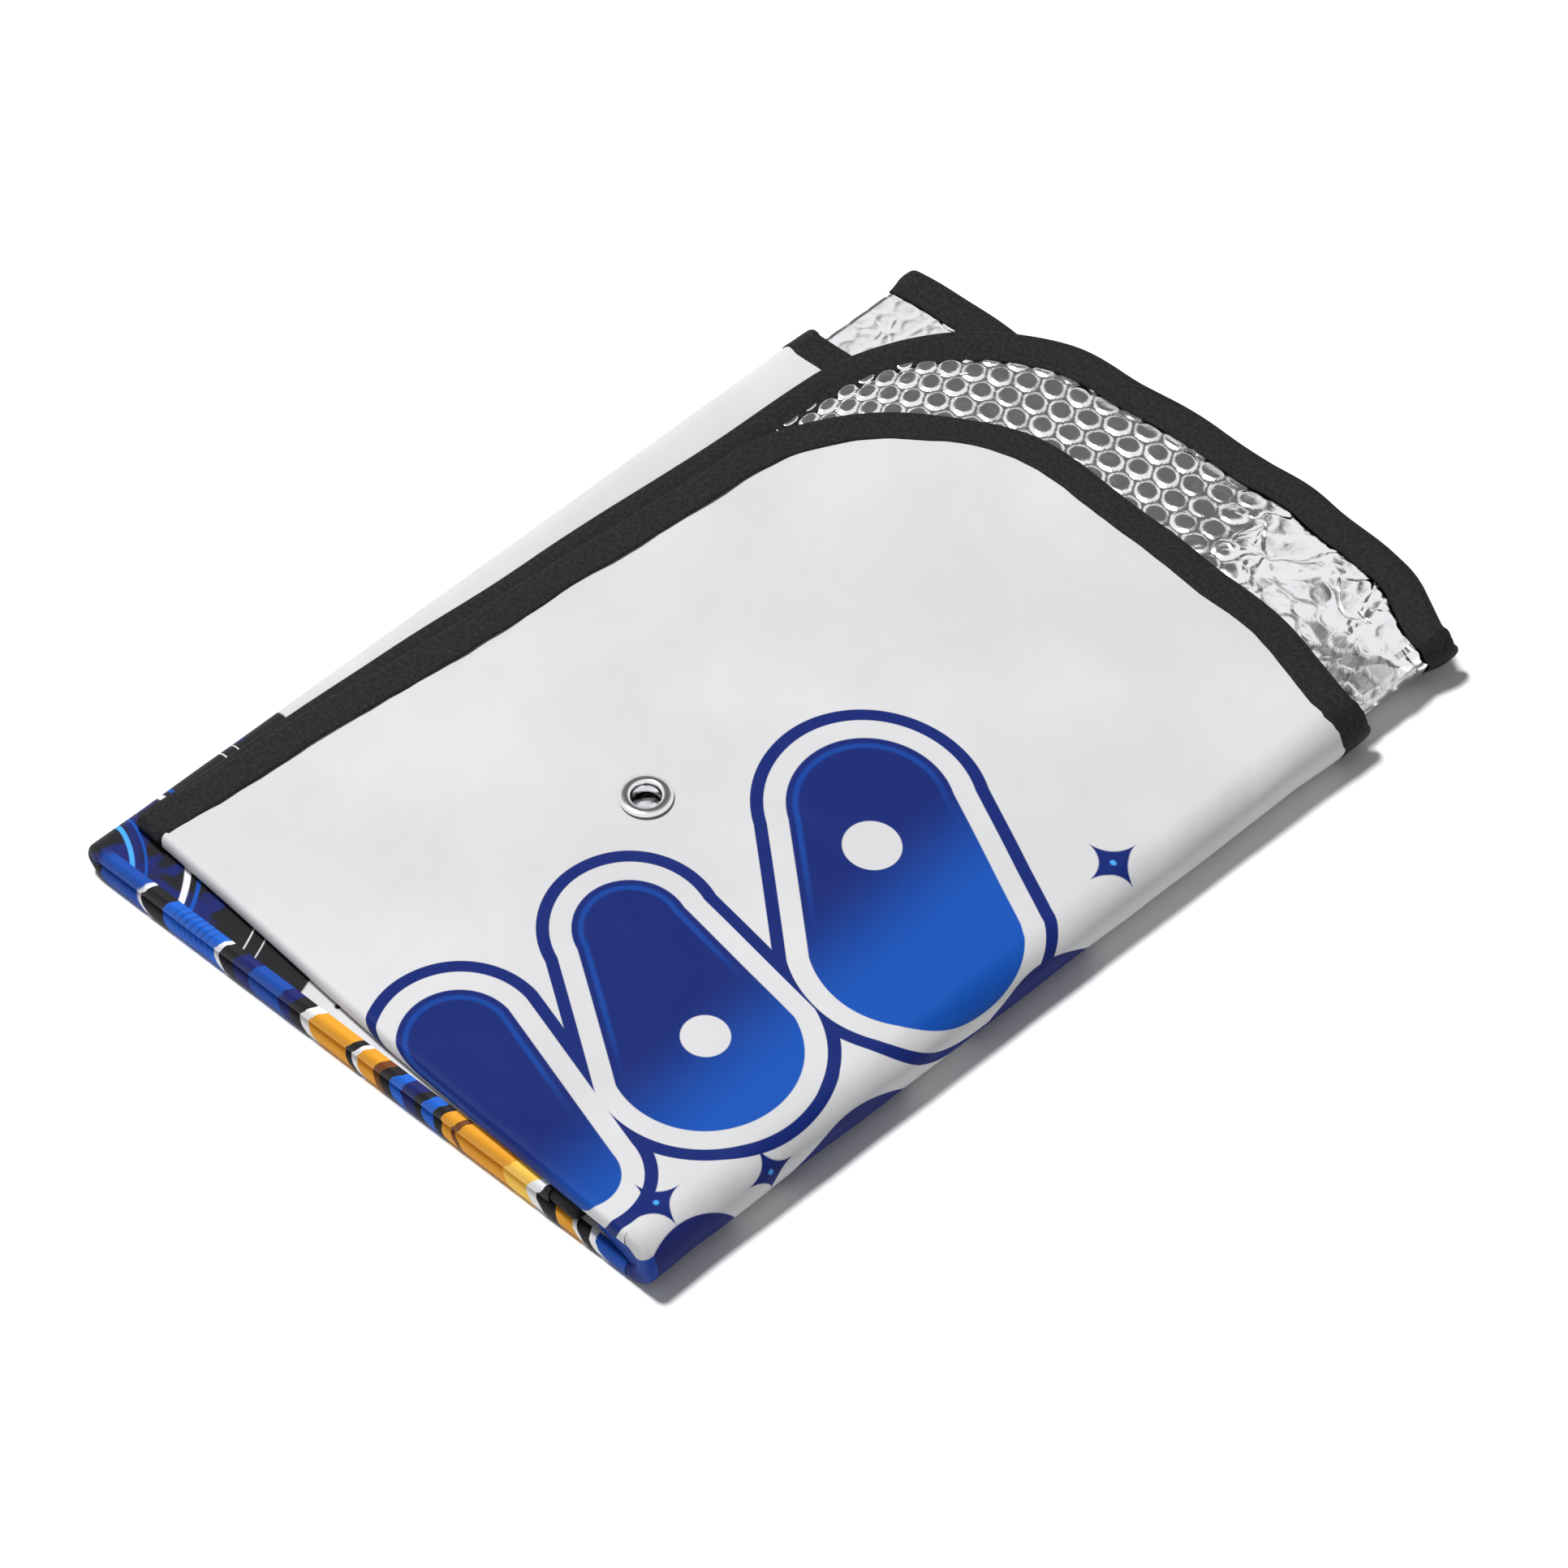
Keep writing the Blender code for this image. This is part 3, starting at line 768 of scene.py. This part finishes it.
def fold_corner(name, axis, x, mid_radius, hand, tuck, finish):
    """Half a ring of cloth round a fold axis at the spine, and the tucked web that closes its middle."""
    bm = bmesh.new()
    tube = SPINE_MID
    flat = bm.loops.layers.uv.new("cloth")
    places = {}
    hollow = mid_radius - tube + 0.0006
    if tuck:
        bmesh.ops.create_grid(bm, x_segments=12, y_segments=12, size=1)
        for vert in bm.verts:
            a, b = vert.co.x, (vert.co.y + 1) / 2
            bow = math.sqrt(1 - a * a)
            y = axis[0] + hand * hollow * bow * (1 - b) - hand * tuck * b * bow
            z = axis[1] + a * hollow
            vert.co = Vector((x - 0.0022 * (1 - b * 0.6), y, z))
            places[vert] = (x, -0.012)
    tucked = set(bm.verts)
    bmesh.ops.create_grid(bm, x_segments=18, y_segments=28, size=1)
    for vert in bm.verts:
        if vert in tucked:
            continue
        turn = math.pi * (vert.co.y + 1) / 2
        bend = math.pi * vert.co.x / 2
        radius = mid_radius + tube * math.sin(bend)
        rumple = 1 + noise.noise(Vector((turn * 2.2, bend * 1.1, mid_radius * 900)))
        soft = 1.0 - 0.10 * rumple * math.cos(bend)
        out = tube * math.sqrt(abs(math.cos(bend))) * soft
        y, z = axis[0] + hand * radius * math.sin(turn), axis[1] - radius * math.cos(turn)
        vert.co = Vector((x - out, y, z))
        places[vert] = (x - tube * (math.pi / 2 - bend), -mid_radius * (math.pi - turn))
    for face in bm.faces:
        for loop in face.loops:
            loop[flat].uv = places[loop.vert]
    bm.normal_update()
    if sum(face.normal.x for face in bm.faces) > 0:
        bmesh.ops.reverse_faces(bm, faces=bm.faces)
    return put_in_scene(name, bm, finish)


NEAR_TUCK = 0.016  # how far the near corner's cloth is pushed into the fold
near_corner_x = spine_x["base"](top_axis.y)
top_corner = fold_corner(
    "near_fold_corner", (top_axis.y, top_axis.z), near_corner_x, 2 * PITCH, -1, NEAR_TUCK, corner_paint
)
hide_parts("top_fold_corner_cover")
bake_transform(top_corner)
far_corner = fold_corner(
    "far_fold_corner", (corner_y, inner_axis.z), corner_x, PITCH, 1, 0.0, inner_print
)
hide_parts("inner_fold_corner_cover")
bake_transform(far_corner)

# Bubble foil: metallised film over round air bubbles, a hexagonal pattern 9.3 mm apart, bonded to the
# cloth. It shows at the open end, where each long leaf runs on past the short one; there every bubble
# is a raised dome with a flat, dented top, and the film is crushed towards the near fold.
LIP = 0.0127  # width of the binding tape, which the film goes under
FOIL_BACK = 0.0007  # the long leaves' film, behind their printed face
SHORT_FOIL_BACK = 0.0018
BUBBLE_PITCH = 0.0093
BUBBLE_RADIUS = 0.0042
BUBBLE_RISE = 0.0010
FILM_LIFT = 0.0006


def film(name, crumpled_where, lean_y):
    """Metallised film: fine crinkles all over, and large facets where it has been crumpled."""
    finish, shader, wire = new_finish(name, Metallic=1.0)
    shader.inputs["Base Color"].default_value = (0.90, 0.90, 0.91, 1)
    uv, x, y = cloth_place(wire)
    crush = wire.node(
        "ShaderNodeTexNoise", None, {"Vector": uv, "Scale": 160.0, "Detail": 4.0, "Roughness": 0.6}
    )
    facet = wire.node(
        "ShaderNodeTexNoise", None, {"Vector": uv, "Scale": 62.0, "Detail": 1.0, "Distortion": 0.8}
    )
    stirred = wire.node("ShaderNodeVectorMath", {"operation": "ADD"}, {0: uv, 1: facet * 0.02})
    crease = wire.node(
        "ShaderNodeTexVoronoi", {"feature": "DISTANCE_TO_EDGE"}, {"Vector": stirred, "Scale": 38.0}
    )
    crumpled = crumpled_where(x, y)
    relief = crush * (1.0 + crumpled * 0.5) + crease.rise(0.0, 0.08) * (0.15 + crumpled * 1.9)
    relief = relief + crumpled * (facet * 2.0 + y * lean_y - x * 0.5)
    bump = wire.node("ShaderNodeBump", None, {"Strength": 0.55, "Distance": 0.0006, "Height": relief})
    feed(wire, shader, Roughness=0.08 + crush * 0.14, Normal=bump)
    return finish


foil = film("bubble_foil", lambda x, y: x.rise(138.0, 166.0) * (1.0 - y.rise(48.0, 90.0)), 1.35)
inner_film = film("inner_bubble_foil", lambda x, y: x.rise(120.0, 130.0) * 0.3, -5.0)


def bubbles(x, across, row):
    """Height of the bubbled film above its back at a place on the flat cloth."""
    pitch_y = BUBBLE_PITCH * math.sqrt(3) / 2
    best, cell = 1.0, None
    row_number = math.floor(across / pitch_y)
    for j in (row_number, row_number + 1):
        shift = 0.5 * BUBBLE_PITCH * (j % 2)
        i = round((x - shift) / BUBBLE_PITCH)
        apart = math.hypot(x - i * BUBBLE_PITCH - shift, across - j * pitch_y)
        if apart < best:
            best, cell = apart, (i, j)
    crushed = smooth(0.135, 0.165, x) * (1 - smooth(0.050, 0.095, across))
    calm = 1.0
    if row.level < 3:
        crushed, calm = 0.85, 0.15
    full = 1.0 - 0.16 * (1 + noise.noise(Vector((cell[0] * 3.7, cell[1] * 5.3, 1.0))))
    slack = 0.5 + abs(noise.noise(Vector((cell[0] * 2.3, cell[1] * 4.1, 6.0))))
    full *= (1 - crushed * slack) * (0.4 + 0.6 * calm)
    share = best / BUBBLE_RADIUS
    dome = math.sqrt(max(0.0, 1 - share**8)) if share < 1 else 0.0
    dent = 0.30 * noise.noise(Vector((x * 150 + cell[0] * 3, across * 150 + cell[1], 7.0))) * dome * calm
    height = BUBBLE_RISE * (dome * full + dent)
    fine = noise.noise(Vector((x * 210, across * 150, 4.0)))
    broad = noise.noise(Vector((x * 62, across * 48, 2.0)))
    ridge = 1 - abs(noise.noise(Vector((x * 75 + across * 30, across * 55, 9.0)))) * 3
    crinkle = 0.00010 * fine + calm * crushed * (0.0009 * broad + 0.0005 * max(0.0, ridge) ** 3)
    sewn = smooth(LIP - 0.0005, LIP + 0.004, row.end.x + 0.004 - x)
    return min(max(0.0002 + (FILM_LIFT + height + crinkle) * (0.45 + 0.55 * sewn), 0.0), 0.0022)


def fine_end(first_x, row_start, row_end, cells):
    """Column shares: coarse from the spine to first_x, then fine to the end."""
    change = (first_x - row_start) / (row_end - row_start)
    coarse = [change * k / 30 for k in range(30)]
    return coarse + [change + (1 - change) * k / cells for k in range(cells + 1)]


def shown_only(first_x):
    return lambda x, across, row: bubbles(x, across, row) if x > first_x else 0.0009


long_foil, cut, area = lay_cloth(
    "foil_top_flap",
    around(
        leaf_rows("base_long", FOIL_BACK, 60, False),
        fold_rows("base_long", "top_long", FOIL_BACK, 26, False),
        leaf_rows("top_long", FOIL_BACK, 300, False),
    ),
    fine_end(0.088, -0.18, 0.19, 165),
    foil,
    shown_only(0.086),
)
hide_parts("top_long_foil", "top_fold_long_foil", "base_long_foil")
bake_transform(long_foil)
inner_foil, cut, area = lay_cloth(
    "foil_inner_flap",
    around(
        [],
        fold_rows("base_long", "inner_long", FOIL_BACK, 12, False),
        leaf_rows("inner_long", FOIL_BACK, 300, False),
    ),
    fine_end(0.118, -0.19, 0.175, 85),
    inner_film,
    shown_only(0.116),
)
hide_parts("inner_long_foil", "inner_fold_long_foil")
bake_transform(inner_foil)
short_foil, cut, area = lay_cloth(
    "foil_short_half",
    around(
        leaf_rows("base_short", SHORT_FOIL_BACK, 40, False),
        fold_rows("base_short", "top_short", SHORT_FOIL_BACK, 16, False),
        leaf_rows("top_short", SHORT_FOIL_BACK, 78, False),
    ),
    even(124),
    foil,
    None,
    eyelet_centre,
)
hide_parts("top_short_foil", "top_fold_short_foil", "base_short_foil")
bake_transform(short_foil)
inner_short_foil, cut, area = lay_cloth(
    "foil_inner_short_half",
    around(
        [],
        fold_rows("base_short", "inner_short", SHORT_FOIL_BACK, 12, False),
        leaf_rows("inner_short", SHORT_FOIL_BACK, 30, False),
    ),
    even(40),
    foil,
)
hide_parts("inner_short_foil", "inner_fold_short_foil")
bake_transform(inner_short_foil)
FOIL_TURN = SPINE_RADIUS - 0.0012
foil_spines = {
    "base": round_spine("foil_base_spine", "base", top_axis.y, corner_y, foil, FOIL_TURN, 10),
    "inner": round_spine("foil_inner_spine", "inner", corner_y, inner_stop, foil, FOIL_TURN, 10),
    "top": round_spine("foil_top_spine", "top", top_axis.y, top_stop, foil, FOIL_TURN, 10),
}
for section, spine in foil_spines.items():
    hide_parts(section + "_spine_foil")
    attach(spine, section if section == "base" else section + "_flap")

# Binding: black woven polyester tape, folded over the raw edge all the way round the sheet and sewn
# through with one row of black thread near its inner edge.
tape, tape_shader, wire = new_finish("binding_tape", Roughness=0.7, Specular_IOR_Level=0.12)
uv, x, y = cloth_place(wire)
rib = (x * (math.tau / 0.75)).math("SINE")
cross = (y * (math.tau / 0.9) + (x / 0.75).math("FLOOR") * 3.14159).math("SINE")
fuzz = wire.node("ShaderNodeTexNoise", None, {"Vector": uv, "Scale": 700.0, "Detail": 3.0})
seam = 1.0 - ((y - 2.2).math("ABSOLUTE")).rise(0.25, 0.6)
stitch = ((x * (math.tau / 3.2)).math("SINE")).rise(-0.5, 0.3) * seam
weave = rib * 0.3 + cross * 0.4 + fuzz * 0.9 - seam * 1.6 + stitch * 2.2
feed(
    wire,
    tape_shader,
    Base_Color=(fuzz.rise(0.3, 0.8)).over((0.008, 0.008, 0.009, 1), (0.022, 0.022, 0.023, 1)),
    Normal=wire.node("ShaderNodeBump", None, {"Strength": 0.7, "Distance": 0.00014, "Height": weave}),
)
HALF = LEAF / 2 + 0.00005  # half the height of the folded tape
FILM_SINK = 0.0018  # how far the stitching draws the tape down onto the film
tape_section = [(LIP, HALF - 0.0003), (LIP, HALF), (LIP - 0.0016, HALF + 0.00005)]
tape_section += [(LIP * k / 6, HALF) for k in (4, 3, 2)]
tape_section += [(0.0012, HALF - 0.0001), (0.0005, HALF - 0.0005), (0.0, HALF - 0.0012)]
tape_section += [(w, -h) for w, h in reversed(tape_section)]


def edge_stations(leaf, hand=1):
    """Places along a leaf's edge for the tape: point, way in, face, level. From its fold outwards."""
    line, level = end_lines[leaf], LEAVES.index(leaf)
    z = printed_z[leaf] + (-LEAF / 2 if printed_up[leaf] else LEAF / 2)
    dense = []
    for a, b in zip(line, line[1:]):
        steps = max(1, int((b - a).length / 0.004))
        dense += [a.lerp(b, k / steps) for k in range(steps)]
    dense.append(line[-1])
    found = []
    up = Vector((0, 0, 1))
    for i, p in enumerate(dense):
        way = inward_of(dense, i, hand)
        found.append((Vector((p.x, p.y, z)), Vector((way.x, way.y, 0)), up, level))
    return found


def fold_stations(lower, upper, count):
    """Places for the tape round a letter fold, from the lower leaf to the upper."""
    found = []
    for k, row in enumerate(fold_rows(lower, upper, LEAF / 2, count, True, 0.0)[0]):
        turn = math.pi * (k + 1) / count
        hand = -1 if upper.startswith("top") else 1
        radial = Vector((0, hand * math.sin(turn), -math.cos(turn)))
        found.append((row.end, Vector((-1, 0, 0)), radial, row.level))
    return found


def bind(name, stations, sink=0.0):
    """Tape swept along stations. sink is how far its film side is drawn down by the stitching."""
    bm = bmesh.new()
    bmesh.ops.create_grid(bm, x_segments=len(tape_section) - 1, y_segments=len(stations) - 1, size=1)
    flat = bm.loops.layers.uv.new("cloth")
    along = [0.0]
    for a, b in zip(stations, stations[1:]):
        along.append(along[-1] + (b[0] - a[0]).length)
    places = {}
    for vert in bm.verts:
        i = round((vert.co.x + 1) / 2 * (len(tape_section) - 1))
        k = round((vert.co.y + 1) / 2 * (len(stations) - 1))
        point, way, up, level = stations[k]
        w, h = tape_section[i]
        if w > LIP * 0.8:
            w += 0.0005 * noise.noise(Vector((along[k] * 110, level, h * 900)))
        if h > 0:
            h -= sink * smooth(LIP * 0.35, LIP, w)
        h += math.copysign(0.00002, h) * noise.noise(Vector((along[k] * 160, w * 300, level)))
        places[vert] = (along[k], LIP - w if h > 0 else LIP - w + 0.03)
        vert.co = settle(point + way * w + up * h, level)
    for face in bm.faces:
        for loop in face.loops:
            loop[flat].uv = places[loop.vert]
    bm.normal_update()
    bmesh.ops.recalc_face_normals(bm, faces=bm.faces)
    test = min(bm.faces, key=lambda f: (f.calc_center_median() - stations[5][0]).length)
    if test.normal.dot(stations[5][1]) > 0:
        bmesh.ops.reverse_faces(bm, faces=bm.faces)
    return put_in_scene(name, bm, tape)


def flipped(stations):
    """Base stations, with their faces down, from the far fold to the near one."""
    return [(p, way, -up, level) for p, way, up, level in reversed(stations)]


short_tape = bind(
    "tape_top_short",
    flipped(edge_stations("base_short"))
    + fold_stations("base_short", "top_short", 20)
    + edge_stations("top_short"),
)
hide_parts("top_short_binding", "top_fold_short_binding", "base_short_binding")
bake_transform(short_tape)
long_tape = bind(
    "tape_top_long",
    flipped(edge_stations("base_long"))
    + fold_stations("base_long", "top_long", 16)
    + edge_stations("top_long"),
    FILM_SINK,
)
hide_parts("top_long_binding", "top_fold_long_binding", "base_long_binding")
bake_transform(long_tape)
inner_short_tape = bind(
    "tape_inner_short",
    fold_stations("base_short", "inner_short", 16) + edge_stations("inner_short", -1),
)
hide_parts("inner_fold_short_binding", "inner_short_binding")
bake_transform(inner_short_tape)
inner_long_tape = bind(
    "tape_inner_long",
    fold_stations("base_long", "inner_long", 10) + edge_stations("inner_long", -1),
    FILM_SINK,
)
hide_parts("inner_fold_long_binding", "inner_long_binding")
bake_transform(inner_long_tape)


def turn_stations(short_leaf, long_leaf, way_y, count):
    """Places for the tape round the spine at a free side, from the short leaf to the long one."""
    a = edge_stations(short_leaf)[-1][0]
    b = edge_stations(long_leaf)[-1][0]
    middle, radius = (a + b) / 2, abs(a.z - b.z) / 2
    levels = LEAVES.index(short_leaf), LEAVES.index(long_leaf)
    found = []
    for k in range(count + 1):
        turn = math.pi * k / count
        radial = Vector((-math.sin(turn), 0, math.cos(turn)))
        point = a.lerp(b, k / count)
        point.x, point.z = middle.x, middle.z
        level = levels[0] + (levels[1] - levels[0]) * k / count
        found.append((point + radial * radius, Vector((0, way_y, 0)), radial, level))
    return found


top_turn = bind("tape_top_turn", turn_stations("top_short", "top_long", -1, 24))
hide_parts("top_binding_turn")
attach(top_turn, "top_flap")
inner_turn = bind("tape_inner_turn", turn_stations("inner_short", "inner_long", 1, 24))
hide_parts("inner_binding_turn")
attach(inner_turn, "inner_flap")

# Eyelet: a nickel-plated brass flange with its barrel, turned over a plain washer inside the fold.
nickel, nickel_shader, _ = new_finish("nickel", Metallic=1.0, Roughness=0.14)
nickel_shader.inputs["Base Color"].default_value = (0.86, 0.86, 0.87, 1)


def turned(name, outline, centre, finish):
    """A closed (radius, height) outline spun about a vertical axis."""
    bm = bmesh.new()
    ring = [bm.verts.new((r, 0, h)) for r, h in outline]
    edges = [bm.edges.new((ring[i - 1], ring[i])) for i in range(len(ring))]
    bmesh.ops.spin(
        bm, geom=ring + edges, axis=(0, 0, 1), cent=(0, 0, 0), angle=math.tau, steps=64, use_merge=True
    )
    bmesh.ops.recalc_face_normals(bm, faces=bm.faces)
    bmesh.ops.translate(bm, verts=bm.verts, vec=centre)
    obj = put_in_scene(name, bm, finish)
    obj.modifiers.new("round", "BEVEL").width = 0.00003
    return obj


washer_low, washer_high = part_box("eyelet_washer")
face_z = printed_z["top_short"]
eyelet_lift = settle((eyelet_centre.x, eyelet_centre.y, face_z), 5).z - face_z
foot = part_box("eyelet_flange")[0].z - face_z
flange_outline = [
    (0.0090, 0.00020), (0.0090, 0.00045), (0.0087, 0.00075), (0.0080, 0.00108), (0.0071, 0.00128),
    (0.0063, 0.00130), (0.0057, 0.00112), (0.0052, 0.00070), (0.0050, 0.00010), (0.0050, foot),
    (0.0054, foot), (0.0054, 0.00010), (0.0058, 0.00070), (0.0064, 0.00095), (0.0072, 0.00092),
    (0.0080, 0.00065), (0.0086, 0.00030),
]
seat = Vector((eyelet_centre.x, eyelet_centre.y, face_z + eyelet_lift))
flange = turned("eyelet_ring", flange_outline, seat, nickel)
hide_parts("eyelet_flange")
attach(flange, "top_flap")
deep = washer_high.z - washer_low.z
washer_outline = [(0.0056, 0), (0.0080, 0), (0.0080, deep), (0.0056, deep)]
washer_seat = Vector((eyelet_centre.x, eyelet_centre.y, washer_low.z + eyelet_lift))
washer = turned("eyelet_back_washer", washer_outline, washer_seat, nickel)
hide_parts("eyelet_washer")
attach(washer, "top_flap")
